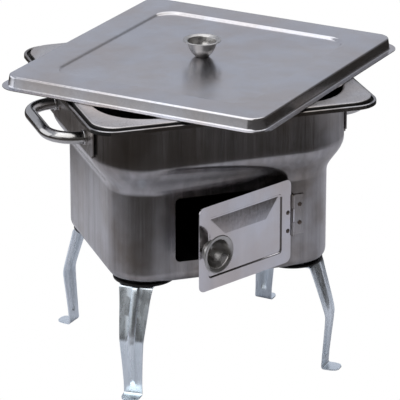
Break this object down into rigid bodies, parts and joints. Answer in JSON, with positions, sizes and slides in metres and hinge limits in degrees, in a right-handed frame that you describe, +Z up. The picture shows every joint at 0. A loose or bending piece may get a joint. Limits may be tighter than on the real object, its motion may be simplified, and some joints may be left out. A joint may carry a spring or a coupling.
{
  "type": "rocket stove",
  "caption": "Square wood-fired camping stove in stainless sheet with a lift-out pan, a loose lid, side handles, a hinged feed door and strap legs.",
  "frame": {"origin": "on the floor, below the middle of the lid as it lies turned on the pan", "axes": "+Z up, -Y towards the front with the feed door, +X to the right of someone facing the door"},
  "size_m": [0.4924, 0.4918, 0.3859],
  "materials": {
    "body": "brushed stainless sheet",
    "lid_sheet": "satin stainless sheet",
    "polished": "polished",
    "zinc": "zinc plated",
    "dark": "blackened",
    "fastener": "plain"
  },
  "bodies": {
    "stove": {"body_shell": "body", "handle_plate_left": "body", "handle_plate_right": "body", "handle_plate_left_rivet_front": "fastener", "handle_plate_left_rivet_rear": "fastener", "handle_plate_right_rivet_front": "fastener", "handle_plate_right_rivet_rear": "fastener", "handle_left": "polished", "handle_right": "polished", "handle_collar_left_front": "dark", "handle_collar_left_rear": "dark", "handle_collar_right_front": "dark", "handle_collar_right_rear": "dark", "hinge_leaf_body": "body", "hinge_pin": "fastener", "hinge_rivet_1": "fastener", "hinge_rivet_2": "fastener", "leg_front_left": "zinc", "leg_front_right": "zinc", "leg_rear_right": "zinc", "leg_rear_left": "zinc", "leg_pad_front_left": "dark", "leg_pad_front_right": "dark", "leg_pad_rear_right": "dark", "leg_pad_rear_left": "dark", "leg_bolt_front_left": "fastener", "leg_bolt_front_right": "fastener", "leg_bolt_rear_right": "fastener", "leg_bolt_rear_left": "fastener", "leg_nut_front_left": "fastener", "leg_nut_front_right": "fastener", "leg_nut_rear_right": "fastener", "leg_nut_rear_left": "fastener", "fire_grate": "dark"},
    "pan": {"pan": "lid_sheet"},
    "lid": {"lid": "lid_sheet", "lid_knob": "polished", "lid_knob_screw": "fastener", "lid_knob_nut": "fastener"},
    "door": {"door": "body", "door_knob": "polished", "door_knob_screw": "fastener", "door_knob_nut": "fastener", "door_rivet_1": "fastener", "door_rivet_2": "fastener", "hinge_leaf_door": "fastener"}
  },
  "joints": [
    {"name": "door_hinge", "type": "hinge", "parent": "stove", "child": "door", "pos_m": [0.0647, -0.1464, 0.2073], "axis": [0, 0, 1], "range_deg": [-25.5, 120]},
    {"name": "pan_lift", "type": "slide", "parent": "stove", "child": "pan", "axis": [0, 0, 1], "range_m": [0, 0.12]},
    {"name": "lid_lift", "type": "slide", "parent": "pan", "child": "lid", "axis": [0, 0, 1], "range_m": [0, 0.15]}
  ]
}
